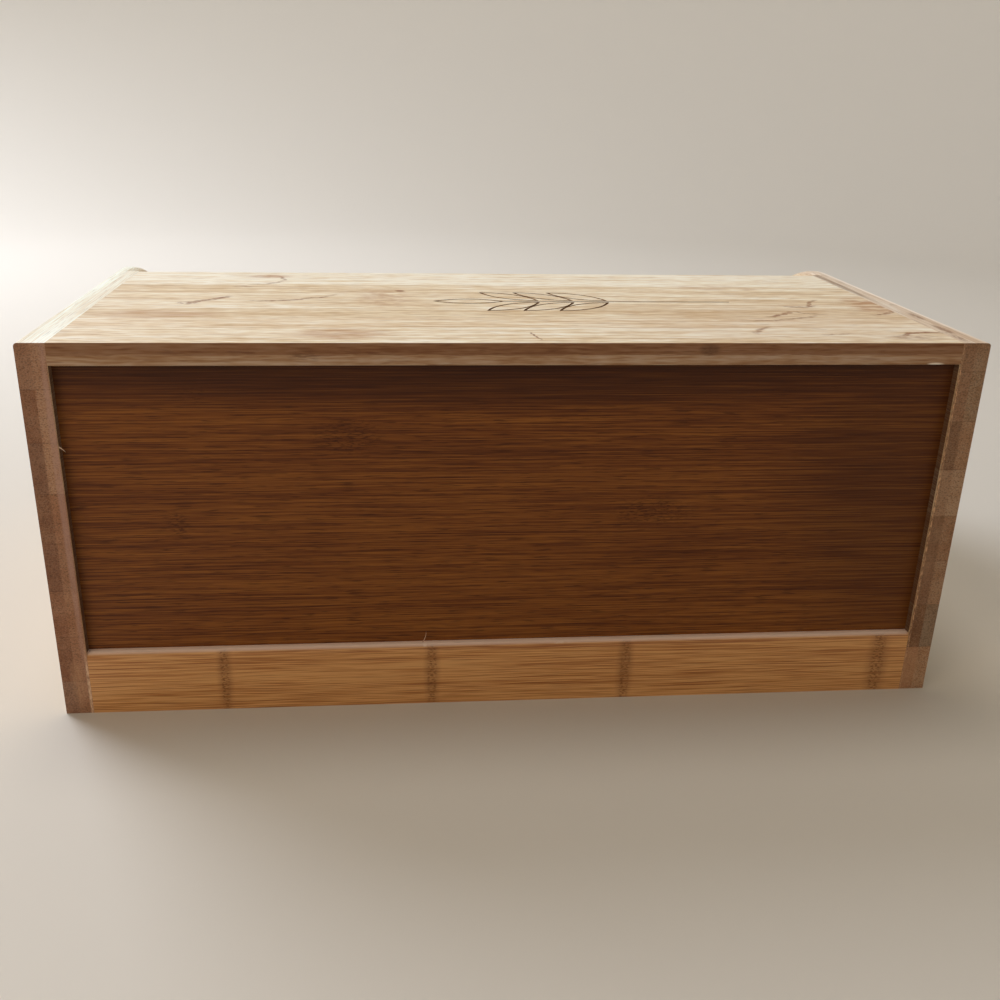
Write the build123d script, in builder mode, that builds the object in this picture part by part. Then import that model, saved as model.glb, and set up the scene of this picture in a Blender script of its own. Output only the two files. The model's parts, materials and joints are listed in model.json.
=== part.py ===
from build123d import *
import math
import os

# Bamboo bread box with a roll-top and a shallow drawer under its floor, in millimetres.
# X points right as seen from the front, Y to the back, Z up. The origin is on the surface
# that the box stands on, midway between the rear faces and the tip of the drawer's knob.
# Side views are drawn as (depth, height), with depth counted forward from the rear faces.

# Carcass
box_width = 400.0
box_height = 168.4
side_depth = 280.0
side_thickness = 12.0
shoulder_start = 180.0
outer_round = 1.5
inner_round = 8.5
top_depth = 173.3
top_thickness = 9.2
top_front_round = 2.5

# Back and floor
rail_height = 30.0
rail_thickness = 12.0
rail_round = 3.0
panel_thickness = 4.0
panel_recess = 4.5
panel_side_groove = 5.0
panel_top_groove = 3.0
panel_rail_groove = 5.0
panel_play = 0.5
floor_thickness = 6.0
floor_side_groove = 4.0
floor_setback = 1.0
floor_rear_gap = 0.3

# Roll-top: wooden slats glued on canvas, running in a round groove in both sides
pivot_height = 42.0
roof_gap = 1.2
front_rim = 10.0
slat_pitch = 12.2
slat_gap = 0.5
slat_thickness = 6.5
slat_edge_thickness = 4.6
slat_round = 0.6
slat_end_gap = 0.8
tongue_inset = 0.2
tongue_thickness = 4.0
tongue_reach = 5.0
groove_depth = 6.0
groove_play = 0.3
top_overlap = 14.0
roll_travel = 72.0
lead_angle = 3.0
lead_thickness = 8.0
lead_drop = 12.0
lead_round = 2.0
floor_clearance = 0.3
canvas_thickness = 0.7
canvas_side_margin = 8.0
canvas_screw_hole = 10.0

# Drawer
runner_width = 10.0
runner_height = 4.0
runner_lift = 1.0
drawer_front_thickness = 12.0
drawer_setback = 1.0
drawer_wall = 8.0
drawer_side_play = 1.0
drawer_top_play = 1.0
drawer_seat_gap = 0.3
drawer_rear_gap = 4.0
drawer_front_lift = 1.5
drawer_base_thickness = 3.0
drawer_base_lift = 2.5
drawer_base_groove = 4.0
drawer_edge_round = 1.5

# Knobs and their screws
knob_length = 19.0
knob_radius = 9.5
knob_neck_radius = 5.2
knob_neck_height = 6.5
knob_foot_radius = 7.0
knob_foot_height = 2.0
knob_crown = 6.5
knob_edge_round = 2.5
screw_radius = 2.0
screw_bite = 10.0
screw_head_radius = 4.0
screw_head_height = 2.4
screw_slot_width = 1.0
screw_slot_depth = 1.0
screw_hole_play = 0.2

# Glued dowels
dowel_radius = 3.0
dowel_side_depth = 8.0
dowel_panel_depth = 18.0
dowel_inset = 30.0
top_dowel_count = 3
rail_dowel_spacing = 11.0
rail_dowel_low = 8.0
drawer_dowel_radius = 2.0
drawer_dowel_front_depth = 7.0
drawer_dowel_side_depth = 13.0
drawer_dowel_spacing = 11.0
dowel_play = 0.05

# Wheat ear engraved in the top
ear_x = -28.0
ear_depth = 90.0
ear_stroke = 1.3
ear_cut = 0.6
ear_stem = 86.0
grain_length = 33.0
grain_width = 11.0
grain_angle = 38.0
grain_pitch = 17.0
grain_pairs = 3
grain_stem_gap = 2.5

# Worked out from the sizes above
half_width = box_width / 2
inner_half = half_width - side_thickness
shoulder_radius = side_depth - shoulder_start
top_underside = box_height - top_thickness
floor_top = rail_height + floor_thickness
panel_front = panel_recess + panel_thickness
rear_y = (side_depth - drawer_setback + knob_length) / 2
roll_radius = top_underside - roof_gap - pivot_height
pivot_depth = side_depth - front_rim - roll_radius
band_radius = roll_radius - slat_thickness
pitch_angle = 2 * math.degrees(math.atan(slat_pitch / 2 / band_radius))
cover_angle = math.degrees(math.acos((top_depth - pivot_depth) / roll_radius) + top_overlap / roll_radius)
slat_count = math.ceil((cover_angle - lead_angle) / pitch_angle - 0.5)
last_edge_angle = lead_angle + (slat_count + 0.5) * pitch_angle
tongue_in = band_radius + tongue_inset
tongue_out = band_radius + tongue_thickness
groove_end_angle = last_edge_angle + roll_travel + math.degrees(groove_play / band_radius)
slat_half = (slat_pitch - slat_gap) / 2
slat_body_half = inner_half - slat_end_gap
tongue_length = tongue_reach + slat_end_gap
tongue_starts = (inner_half + tongue_reach, -slat_body_half)
tongue_half_angle = math.degrees(math.asin(slat_half / tongue_out))
drawer_bottom = runner_lift + runner_height + drawer_seat_gap
drawer_top = rail_height - drawer_top_play
drawer_face = side_depth - drawer_setback
drawer_front_back = drawer_face - drawer_front_thickness
drawer_rear = rail_thickness + drawer_rear_gap
drawer_half = inner_half - drawer_side_play
drawer_base_z = drawer_bottom + drawer_base_lift
drawer_base_top = drawer_base_z + drawer_base_thickness
drawer_front_mid = (drawer_front_lift + drawer_top) / 2
drawer_side_mid = (drawer_base_top + drawer_top) / 2
lead_knob_shift = (slat_half - lead_drop) / 2


def side_view(x):
    """Upright plane at x: its own x counts depth forward from the rear faces, its own y is height."""
    return Plane(origin=(x, rear_y, 0), x_dir=(0, -1, 0), z_dir=(-1, 0, 0))


def slat_view(x, angle):
    """Upright plane at x through the roll-top's pivot: its own x points outward at the angle."""
    turn = math.radians(angle)
    outward = (0, -math.cos(turn), math.sin(turn))
    return Plane(origin=(x, rear_y - pivot_depth, pivot_height), x_dir=outward, z_dir=(-1, 0, 0))


def on_arc(radius, angle):
    """Point at this radius and angle in a slat view."""
    turn = math.radians(angle)
    return (radius * math.cos(turn), radius * math.sin(turn))


def band_point(radius, along, angle):
    """Side view point, from the pivot, on the flat facet at this angle, this far along it."""
    turn = math.radians(angle)
    forward = radius * math.cos(turn) - along * math.sin(turn)
    up = radius * math.sin(turn) + along * math.cos(turn)
    return (pivot_depth + forward, pivot_height + up)


def tongue_outline(below, above):
    """Closed outline of a slat's tongue in a slat view, between these angles below and above it."""
    low_out = on_arc(tongue_out, -below)
    high_out = on_arc(tongue_out, above)
    low_in = on_arc(tongue_in, -below)
    high_in = on_arc(tongue_in, above)
    outer = Edge.make_three_point_arc(low_out, (tongue_out, 0), high_out)
    inner = Edge.make_three_point_arc(high_in, (tongue_in, 0), low_in)
    return [outer, Edge.make_line(high_out, high_in), inner, Edge.make_line(low_in, low_out)]


os.makedirs("parts", exist_ok=True)

# Centre lines of the dowels, in side view
top_dowel_step = (top_depth - 2 * dowel_inset) / (top_dowel_count - 1)
top_dowel_points = [
    (dowel_inset + step * top_dowel_step, box_height - top_thickness / 2) for step in range(top_dowel_count)
]
rail_dowel_points = [
    (rail_thickness / 2, rail_dowel_low),
    (rail_thickness / 2, rail_dowel_low + rail_dowel_spacing),
]

# Right side: rounded shoulder, with grooves for the back panel, the floor and the roll-top
groove_span = side_depth + box_height
groove_limit = [
    (0, floor_top - pivot_height),
    (groove_span, floor_top - pivot_height),
    (groove_span, groove_span),
    (-groove_span, groove_span),
    on_arc(groove_span, groove_end_angle),
    (0, 0),
]
with BuildPart() as side_right:
    with BuildSketch(side_view(half_width)):
        with BuildLine():
            Polyline((side_depth, box_height - shoulder_radius), (side_depth, 0), (0, 0), (0, box_height))
            Line((0, box_height), (shoulder_start, box_height))
            RadiusArc((shoulder_start, box_height), (side_depth, box_height - shoulder_radius), shoulder_radius)
        make_face()
    extrude(amount=side_thickness)
    outer_edges = side_right.faces().sort_by(Axis.X)[-1].edges()
    inner_edges = side_right.faces().sort_by(Axis.X)[0].edges()
    outer_rim = outer_edges.sort_by(Axis.Z)[1:].sort_by(Axis.Y)[:-1]
    inner_rim = inner_edges.sort_by(Axis.Z)[1:].sort_by(Axis.Y)[:-1]
    fillet(outer_rim, radius=outer_round)
    fillet(inner_rim, radius=inner_round)
    # The inner edge stays square along the top panel
    with BuildSketch(side_view(inner_half + inner_round)):
        with Locations((0, box_height - inner_round)):
            Rectangle(top_depth, inner_round, align=(Align.MIN, Align.MIN))
    extrude(amount=inner_round)
    with BuildSketch(side_view(inner_half + panel_side_groove)):
        with Locations((panel_recess, rail_height - panel_rail_groove)):
            panel_run = top_underside + panel_top_groove - rail_height + panel_rail_groove
            Rectangle(panel_thickness, panel_run, align=(Align.MIN, Align.MIN))
    extrude(amount=panel_side_groove, mode=Mode.SUBTRACT)
    with BuildSketch(side_view(inner_half + floor_side_groove)):
        with Locations((panel_front, rail_height)):
            Rectangle(side_depth, floor_thickness, align=(Align.MIN, Align.MIN))
    extrude(amount=floor_side_groove, mode=Mode.SUBTRACT)
    with BuildSketch(slat_view(inner_half + groove_depth, 0)):
        Circle(tongue_out + groove_play)
        Circle(tongue_in - groove_play, mode=Mode.SUBTRACT)
        Polygon(*groove_limit, align=None, mode=Mode.INTERSECT)
    extrude(amount=groove_depth, mode=Mode.SUBTRACT)
    with BuildSketch(side_view(inner_half + dowel_side_depth + dowel_play)):
        with Locations(*top_dowel_points, *rail_dowel_points):
            Circle(dowel_radius + dowel_play)
    extrude(amount=dowel_side_depth + dowel_play, mode=Mode.SUBTRACT)
side_right.part.label = "side_right"
export_step(side_right.part, "parts/side_right.step")

with BuildPart() as side_left:
    mirror(side_right.part, about=Plane.YZ)
side_left.part.label = "side_left"
export_step(side_left.part, "parts/side_left.step")

# Top panel, flush between the sides, with a wheat ear engraved as thin strokes
ear_points = []
for pair in range(grain_pairs):
    root = ear_stem / 2 - grain_length / 2 - grain_pitch * (grain_pairs - pair)
    ear_points.append((root, grain_stem_gap, grain_angle))
    ear_points.append((root, -grain_stem_gap, -grain_angle))
ear_tip_root = ear_stem / 2 - grain_length / 2
ear_points.append((ear_tip_root, 0, 0))
with BuildPart() as top_panel:
    with BuildSketch(side_view(inner_half)):
        with Locations((0, top_underside)):
            Rectangle(top_depth, top_thickness, align=(Align.MIN, Align.MIN))
    extrude(amount=2 * inner_half)
    front_edge = top_panel.edges().filter_by(Axis.X).group_by(Axis.Y)[0].sort_by(Axis.Z)[-1]
    fillet(front_edge, radius=top_front_round)
    with BuildSketch(side_view(inner_half)):
        with Locations((panel_recess, top_underside)):
            Rectangle(panel_thickness, panel_top_groove, align=(Align.MIN, Align.MIN))
    extrude(amount=2 * inner_half, mode=Mode.SUBTRACT)
    for end_x, direction in ((inner_half, 1), (-inner_half, -1)):
        with BuildSketch(side_view(end_x)):
            with Locations(*top_dowel_points):
                Circle(dowel_radius + dowel_play)
        extrude(amount=direction * (dowel_panel_depth + dowel_play), mode=Mode.SUBTRACT)
    with BuildSketch(Plane(origin=(ear_x, rear_y - ear_depth, box_height))):
        with BuildLine():
            Line((-ear_stem, 0), (ear_tip_root, 0))
        trace(line_width=ear_stroke)
        for root_x, root_y, lean in ear_points:
            along = Vector(1, 0).rotate(Axis.Z, lean)
            root = Vector(root_x, root_y)
            tip = root + along * grain_length
            bulge = along.rotate(Axis.Z, 90) * (grain_width / 2)
            middle = (root + tip) / 2
            with BuildLine():
                ThreePointArc(root, middle + bulge, tip)
                ThreePointArc(tip, middle - bulge, root)
            trace(line_width=ear_stroke)
    extrude(amount=-ear_cut, mode=Mode.SUBTRACT)
top_panel.part.label = "top_panel"
export_step(top_panel.part, "parts/top_panel.step")

# Thin back panel, held in grooves all round
with BuildPart() as back_panel:
    panel_low = rail_height - panel_rail_groove + panel_play
    panel_high = top_underside + panel_top_groove - panel_play
    with BuildSketch(side_view(inner_half + panel_side_groove - panel_play)):
        with Locations((panel_recess, panel_low)):
            Rectangle(panel_thickness, panel_high - panel_low, align=(Align.MIN, Align.MIN))
    extrude(amount=2 * (inner_half + panel_side_groove - panel_play))
back_panel.part.label = "back_panel"
export_step(back_panel.part, "parts/back_panel.step")

# Rear rail under the back panel, which closes the drawer's bay
with BuildPart() as rear_rail:
    with BuildSketch(side_view(inner_half)):
        Rectangle(rail_thickness, rail_height, align=(Align.MIN, Align.MIN))
    extrude(amount=2 * inner_half)
    upper_rear = rear_rail.edges().filter_by(Axis.X).group_by(Axis.Z)[-1].sort_by(Axis.Y)[-1]
    fillet(upper_rear, radius=rail_round)
    with BuildSketch(side_view(inner_half)):
        with Locations((panel_recess, rail_height)):
            Rectangle(panel_thickness, panel_rail_groove, align=(Align.MIN, Align.MAX))
    extrude(amount=2 * inner_half, mode=Mode.SUBTRACT)
    for end_x, direction in ((inner_half, 1), (-inner_half, -1)):
        with BuildSketch(side_view(end_x)):
            with Locations(*rail_dowel_points):
                Circle(dowel_radius + dowel_play)
        extrude(amount=direction * (dowel_panel_depth + dowel_play), mode=Mode.SUBTRACT)
rear_rail.part.label = "rear_rail"
export_step(rear_rail.part, "parts/rear_rail.step")

# Floor of the bread compartment, over the drawer
with BuildPart() as floor_panel:
    floor_rear = panel_front + floor_rear_gap
    with BuildSketch(side_view(inner_half + floor_side_groove)):
        with Locations((floor_rear, rail_height)):
            Rectangle(side_depth - floor_setback - floor_rear, floor_thickness, align=(Align.MIN, Align.MIN))
    extrude(amount=2 * (inner_half + floor_side_groove))
floor_panel.part.label = "floor_panel"
export_step(floor_panel.part, "parts/floor_panel.step")

# Dowels between the sides and the boards that butt against them
for name, points in (("top_dowels", top_dowel_points), ("rail_dowels", rail_dowel_points)):
    with BuildPart() as dowels:
        for start_x in (inner_half + dowel_side_depth, dowel_panel_depth - inner_half):
            with BuildSketch(side_view(start_x)):
                with Locations(*points):
                    Circle(dowel_radius)
            extrude(amount=dowel_side_depth + dowel_panel_depth)
    dowels.part.label = name
    export_step(dowels.part, f"parts/{name}.step")

# Runners that carry the drawer
with BuildPart() as runner_right:
    with BuildSketch(side_view(inner_half)):
        with Locations((rail_thickness, runner_lift)):
            runner_length = drawer_front_back - drawer_seat_gap - rail_thickness
            Rectangle(runner_length, runner_height, align=(Align.MIN, Align.MIN))
    extrude(amount=runner_width)
runner_right.part.label = "runner_right"
export_step(runner_right.part, "parts/runner_right.step")

with BuildPart() as runner_left:
    mirror(runner_right.part, about=Plane.YZ)
runner_left.part.label = "runner_left"
export_step(runner_left.part, "parts/runner_left.step")

# Slats, each flat on the canvas, crowned outside, with a tongue in the groove at each end
for number in range(1, slat_count + 1):
    angle = lead_angle + number * pitch_angle
    with BuildPart() as slat:
        with BuildSketch(slat_view(slat_body_half, angle)) as profile:
            edge_radius = band_radius + slat_edge_thickness
            with BuildLine():
                Line((edge_radius, -slat_half), (band_radius, -slat_half))
                Line((band_radius, -slat_half), (band_radius, slat_half))
                Line((band_radius, slat_half), (edge_radius, slat_half))
                ThreePointArc((edge_radius, slat_half), (roll_radius, 0), (edge_radius, -slat_half))
            make_face()
            fillet(profile.vertices().group_by(Axis.X)[-1], radius=slat_round)
        extrude(amount=2 * slat_body_half)
        for start_x in tongue_starts:
            with BuildSketch(slat_view(start_x, angle)):
                make_face(tongue_outline(tongue_half_angle, tongue_half_angle))
            extrude(amount=tongue_length)
    slat.part.label = f"slat_{number:02d}"
    export_step(slat.part, f"parts/slat_{number:02d}.step")

# Lead slat: thicker, with the knob's hole, cut level where it stands on the floor panel
lead_face = band_radius + lead_thickness
with BuildPart() as lead_slat:
    with BuildSketch(slat_view(slat_body_half, lead_angle)) as profile:
        with Locations((band_radius, slat_half)):
            Rectangle(lead_thickness, slat_half + lead_drop, align=(Align.MIN, Align.MAX))
        fillet(profile.vertices().group_by(Axis.X)[-1], radius=lead_round)
    extrude(amount=2 * slat_body_half)
    drop_angle = math.degrees(math.asin((lead_drop - lead_round) / tongue_out))
    for start_x in tongue_starts:
        with BuildSketch(slat_view(start_x, lead_angle)):
            make_face(tongue_outline(drop_angle, tongue_half_angle))
        extrude(amount=tongue_length)
    split(bisect_by=Plane.XY.offset(floor_top + floor_clearance), keep=Keep.TOP)
    knob_turn = math.radians(lead_angle)
    lead_outward = Vector(0, -math.cos(knob_turn), math.sin(knob_turn))
    lead_seat_depth, lead_seat_height = band_point(lead_face, lead_knob_shift, lead_angle)
    lead_seat_point = (0, rear_y - lead_seat_depth, lead_seat_height)
    lead_seat = Plane(origin=lead_seat_point, x_dir=(1, 0, 0), z_dir=lead_outward)
    with BuildSketch(lead_seat):
        Circle(screw_radius + screw_hole_play)
    extrude(amount=-lead_thickness, mode=Mode.SUBTRACT)
lead_slat.part.label = "lead_slat"
export_step(lead_slat.part, "parts/lead_slat.step")

# Canvas behind the slats: one flat facet to each slat
canvas_in = band_radius - canvas_thickness
facet_angles = [lead_angle + (number + 0.5) * pitch_angle for number in range(slat_count)]
last_angle = lead_angle + slat_count * pitch_angle
canvas_outline = [band_point(band_radius, -lead_drop + lead_round, lead_angle)]
for facet_angle in facet_angles:
    canvas_outline.append(band_point(band_radius / math.cos(math.radians(pitch_angle / 2)), 0, facet_angle))
canvas_outline.append(band_point(band_radius, slat_half, last_angle))
canvas_outline.append(band_point(canvas_in, slat_half, last_angle))
for facet_angle in reversed(facet_angles):
    canvas_outline.append(band_point(canvas_in / math.cos(math.radians(pitch_angle / 2)), 0, facet_angle))
canvas_outline.append(band_point(canvas_in, -lead_drop + lead_round, lead_angle))
canvas_half = slat_body_half - canvas_side_margin
with BuildPart() as canvas_backing:
    with BuildSketch(side_view(canvas_half)):
        Polygon(*canvas_outline, align=None)
    extrude(amount=2 * canvas_half)
    with BuildSketch(lead_seat):
        Circle(canvas_screw_hole / 2)
    extrude(amount=-2 * lead_thickness, mode=Mode.SUBTRACT)
canvas_backing.part.label = "canvas_backing"
export_step(canvas_backing.part, "parts/canvas_backing.step")

# Turned knobs, each with the screw that holds it from behind its board
drawer_seat = Plane(origin=(0, rear_y - drawer_face, drawer_front_mid), x_dir=(1, 0, 0), z_dir=(0, -1, 0))
knob_places = (("roll_top", lead_seat, lead_thickness), ("drawer", drawer_seat, drawer_front_thickness))
for place, seat, wall in knob_places:
    turning_plane = Plane(origin=seat.origin, x_dir=seat.x_dir, z_dir=-seat.y_dir)
    with BuildPart() as knob:
        with BuildSketch(turning_plane) as turned:
            with BuildLine():
                head_height = knob_length - knob_crown
                crown_radius = (knob_radius**2 + knob_crown**2) / (2 * knob_crown)
                crown_turn = math.asin(knob_radius / crown_radius) / 2
                crown_sag = crown_radius * (1 - math.cos(crown_turn))
                crown_middle = (crown_radius * math.sin(crown_turn), knob_length - crown_sag)
                Line((0, 0), (knob_foot_radius, 0))
                Line((knob_foot_radius, 0), (knob_foot_radius, knob_foot_height))
                foot = (knob_foot_radius, knob_foot_height)
                ThreePointArc(foot, (knob_neck_radius, knob_neck_height), (knob_radius, head_height))
                ThreePointArc((knob_radius, head_height), crown_middle, (0, knob_length))
                Line((0, knob_length), (0, 0))
            make_face()
            fillet(turned.vertices().sort_by(Axis.X)[-1], radius=knob_edge_round)
        revolve(axis=Axis(seat.origin, seat.z_dir))
        with BuildSketch(seat):
            Circle(screw_radius)
        extrude(amount=screw_bite, mode=Mode.SUBTRACT)
    knob.part.label = f"{place}_knob"
    export_step(knob.part, f"parts/{place}_knob.step")

    with BuildPart() as screw:
        with BuildSketch(seat.offset(-wall)):
            Circle(screw_radius)
        extrude(amount=wall + screw_bite)
        with BuildSketch(seat.offset(-wall)):
            Circle(screw_head_radius)
        extrude(amount=-screw_head_height)
        fillet(screw.faces().sort_by(Axis(seat.origin, seat.z_dir))[0].edges(), radius=screw_head_height / 3)
        with BuildSketch(seat.offset(-wall - screw_head_height)):
            Rectangle(2 * screw_head_radius, screw_slot_width)
        extrude(amount=screw_slot_depth, mode=Mode.SUBTRACT)
    screw.part.label = f"{place}_screw"
    export_step(screw.part, f"parts/{place}_screw.step")

# Drawer
with BuildPart() as drawer_front:
    with BuildSketch(side_view(drawer_half)):
        with Locations((drawer_front_back, drawer_front_lift)):
            front_height = drawer_top - drawer_front_lift
            Rectangle(drawer_front_thickness, front_height, align=(Align.MIN, Align.MIN))
    extrude(amount=2 * drawer_half)
    fillet(drawer_front.faces().sort_by(Axis.Y)[0].edges(), radius=drawer_edge_round)
    with BuildSketch(side_view(drawer_half - drawer_wall + drawer_base_groove)):
        with Locations((drawer_front_back, drawer_base_z)):
            Rectangle(drawer_base_groove, drawer_base_thickness, align=(Align.MIN, Align.MIN))
    extrude(amount=2 * (drawer_half - drawer_wall + drawer_base_groove), mode=Mode.SUBTRACT)
    with BuildSketch(drawer_seat):
        Circle(screw_radius + screw_hole_play)
    extrude(amount=-drawer_front_thickness, mode=Mode.SUBTRACT)
    joint_middle = (0, rear_y - drawer_front_back, drawer_side_mid)
    with BuildSketch(Plane(origin=joint_middle, x_dir=(1, 0, 0), z_dir=(0, -1, 0))):
        with GridLocations(2 * drawer_half - drawer_wall, drawer_dowel_spacing, 2, 2):
            Circle(drawer_dowel_radius + dowel_play)
    extrude(amount=drawer_dowel_front_depth + dowel_play, mode=Mode.SUBTRACT)
drawer_front.part.label = "drawer_front"
export_step(drawer_front.part, "parts/drawer_front.step")

with BuildPart() as drawer_side_right:
    with BuildSketch(side_view(drawer_half)):
        with Locations((drawer_rear, drawer_bottom)):
            side_length = drawer_front_back - drawer_rear
            Rectangle(side_length, drawer_top - drawer_bottom, align=(Align.MIN, Align.MIN))
    extrude(amount=drawer_wall)
    with BuildSketch(side_view(drawer_half - drawer_wall + drawer_base_groove)):
        with Locations((drawer_rear, drawer_base_z)):
            Rectangle(side_length, drawer_base_thickness, align=(Align.MIN, Align.MIN))
    extrude(amount=drawer_base_groove, mode=Mode.SUBTRACT)
    joint_point = (drawer_half - drawer_wall / 2, rear_y - drawer_front_back, drawer_side_mid)
    with BuildSketch(Plane(origin=joint_point, x_dir=(1, 0, 0), z_dir=(0, 1, 0))):
        with GridLocations(0, drawer_dowel_spacing, 1, 2):
            Circle(drawer_dowel_radius + dowel_play)
    extrude(amount=drawer_dowel_side_depth + dowel_play, mode=Mode.SUBTRACT)
drawer_side_right.part.label = "drawer_side_right"
export_step(drawer_side_right.part, "parts/drawer_side_right.step")

with BuildPart() as drawer_side_left:
    mirror(drawer_side_right.part, about=Plane.YZ)
drawer_side_left.part.label = "drawer_side_left"
export_step(drawer_side_left.part, "parts/drawer_side_left.step")

with BuildPart() as drawer_back:
    with BuildSketch(side_view(drawer_half - drawer_wall)):
        with Locations((drawer_rear, drawer_base_top)):
            Rectangle(drawer_wall, drawer_top - drawer_base_top, align=(Align.MIN, Align.MIN))
    extrude(amount=2 * (drawer_half - drawer_wall))
drawer_back.part.label = "drawer_back"
export_step(drawer_back.part, "parts/drawer_back.step")

with BuildPart() as drawer_bottom_panel:
    with BuildSketch(side_view(drawer_half - drawer_wall + drawer_base_groove)):
        with Locations((drawer_rear, drawer_base_z)):
            base_length = drawer_front_back + drawer_base_groove - drawer_rear
            Rectangle(base_length, drawer_base_thickness, align=(Align.MIN, Align.MIN))
    extrude(amount=2 * (drawer_half - drawer_wall + drawer_base_groove))
drawer_bottom_panel.part.label = "drawer_bottom_panel"
export_step(drawer_bottom_panel.part, "parts/drawer_bottom_panel.step")

with BuildPart() as drawer_dowels:
    dowel_plane = Plane(
        origin=(0, rear_y - drawer_front_back - drawer_dowel_front_depth, drawer_side_mid),
        x_dir=(1, 0, 0),
        z_dir=(0, 1, 0),
    )
    with BuildSketch(dowel_plane):
        with GridLocations(2 * drawer_half - drawer_wall, drawer_dowel_spacing, 2, 2):
            Circle(drawer_dowel_radius)
    extrude(amount=drawer_dowel_front_depth + drawer_dowel_side_depth)
drawer_dowels.part.label = "drawer_dowels"
export_step(drawer_dowels.part, "parts/drawer_dowels.step")

# Record values for the roll-top's hinge and the travel that its groove leaves
print("pivot y, z:", rear_y - pivot_depth, pivot_height)
print("roll-top slats:", slat_count, "last edge at", round(last_edge_angle, 2), "degrees")
print("travel in degrees:", roll_travel)
print("rear faces at y:", rear_y)
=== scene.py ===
import json
import math
from types import SimpleNamespace

import bmesh
import bpy
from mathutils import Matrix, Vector


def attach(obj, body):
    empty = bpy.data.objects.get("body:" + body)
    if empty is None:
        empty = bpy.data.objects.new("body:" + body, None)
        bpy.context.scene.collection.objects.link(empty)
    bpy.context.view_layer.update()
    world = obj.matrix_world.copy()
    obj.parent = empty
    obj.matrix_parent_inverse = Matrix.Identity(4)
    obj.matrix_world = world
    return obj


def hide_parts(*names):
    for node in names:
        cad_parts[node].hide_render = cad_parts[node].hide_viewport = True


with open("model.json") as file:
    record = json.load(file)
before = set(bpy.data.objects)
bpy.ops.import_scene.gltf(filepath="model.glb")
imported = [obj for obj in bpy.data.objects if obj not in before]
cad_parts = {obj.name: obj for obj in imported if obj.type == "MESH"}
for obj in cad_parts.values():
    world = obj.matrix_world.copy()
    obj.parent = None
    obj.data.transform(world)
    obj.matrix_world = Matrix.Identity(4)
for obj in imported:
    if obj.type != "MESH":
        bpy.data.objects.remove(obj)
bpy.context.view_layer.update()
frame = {"nodes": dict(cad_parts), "record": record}
nodes = frame["nodes"]
bodyOf = {name: body for body, names in frame["record"]["behaviour"]["bodies"].items() for name in names}
print("frame loaded:", len(nodes), "pieces")

mm = 0.001  # the scene is in metres, sizes below are in millimetres


def linear(hexColour, alpha=1.0):  # sRGB hex to the linear values that a shader reads
    values = [int(hexColour[start:start + 2], 16) / 255 for start in (1, 3, 5)]
    return [value / 12.92 if value <= 0.04045 else ((value + 0.055) / 1.055) ** 2.4
            for value in values] + [alpha]


def feed(tree, node, inputs):  # a socket is linked, anything else is set
    for key, value in inputs.items() if isinstance(inputs, dict) else enumerate(inputs):
        if isinstance(value, bpy.types.NodeSocket):
            tree.links.new(value, node.inputs[key])
        else:
            node.inputs[key].default_value = value


def add(tree, kind, inputs=(), out=0, stops=(), **settings):  # one node with its settings and links
    node = tree.nodes.new("ShaderNode" + kind)
    for name, value in settings.items():
        setattr(node, name, value)
    feed(tree, node, inputs)
    for index, (place, colour) in enumerate(stops):
        element = node.color_ramp.elements[index] if index < 2 else node.color_ramp.elements.new(place)
        element.position = place
        element.color = colour
    return node if out is None else node.outputs[out]


colourMix = {"out": 2, "data_type": "RGBA"}  # a Mix of two colours, which are its inputs 6 and 7
colourTint = colourMix | {"blend_type": "MULTIPLY"}


def newMaterial(name):  # a material, its node tree and its shader
    material = bpy.data.materials.new(name)
    material.use_nodes = True
    return material, material.node_tree, material.node_tree.nodes["Principled BSDF"]


def asObject(name, mesh, material):  # the finished mesh as an object in the scene
    data = bpy.data.meshes.new(name)
    mesh.to_mesh(data)
    mesh.free()
    data.materials.append(material)
    piece = bpy.data.objects.new(name, data)
    bpy.context.scene.collection.objects.link(piece)
    return piece


# Camera: it stands behind the box, a little above it
camera = {
    "place": (0.05429, 0.56966, 0.26437),
    "turn": (68.2695, -1.1614, 174.9802),  # degrees
    "lens": 38.047,
    "sensor": 36,
    "shift": (0.01555, 0.00908),
}
cameraData = bpy.data.cameras.new("photoCamera")
cameraData.lens = camera["lens"]
cameraData.sensor_width = camera["sensor"]
cameraData.shift_x, cameraData.shift_y = camera["shift"]
cameraObject = bpy.data.objects.new("photoCamera", cameraData)
cameraObject.location = camera["place"]
cameraObject.rotation_euler = [math.radians(angle) for angle in camera["turn"]]
bpy.context.scene.collection.objects.link(cameraObject)
bpy.context.scene.camera = cameraObject
bpy.context.scene.view_settings.view_transform = "Standard"

# Studio: a pale matt paper floor that curves up all round, and three soft lights. Sizes are in metres.
studio = {
    "floorHex": "#d9d3c8",
    "floorRoughness": 0.9,
    "floorRadius": 1.5,  # flat as far as this
    "flatRim": 0.05,
    "coveRadius": 0.9,
    "coveTop": 3.2,
    "coveSides": 96,
    "coveSteps": 24,
    "airHex": "#e4e6ea",
    "airStrength": 0.12,
    "lightsAimAt": (0, 0, 0.08),
    # window beyond the box, high on the left of the view
    "windowKind": "AREA", "windowPlace": (1.3, -1.2, 1.3), "windowSize": 1.2, "windowPower": 37.0,
    "windowHex": "#ebf1ff",
    # soft ceiling light, which also washes the cove
    "ceilingKind": "POINT", "ceilingPlace": (0.2, -0.3, 2.3), "ceilingSize": 0.8, "ceilingPower": 47.0,
    "ceilingHex": "#fffaf2",
    # faint warm lamp above the viewer's left shoulder
    "fillKind": "AREA", "fillPlace": (0.65, 0.85, 0.8), "fillSize": 0.5, "fillPower": 1.7,
    "fillHex": "#ffe6c8",
}


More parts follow.
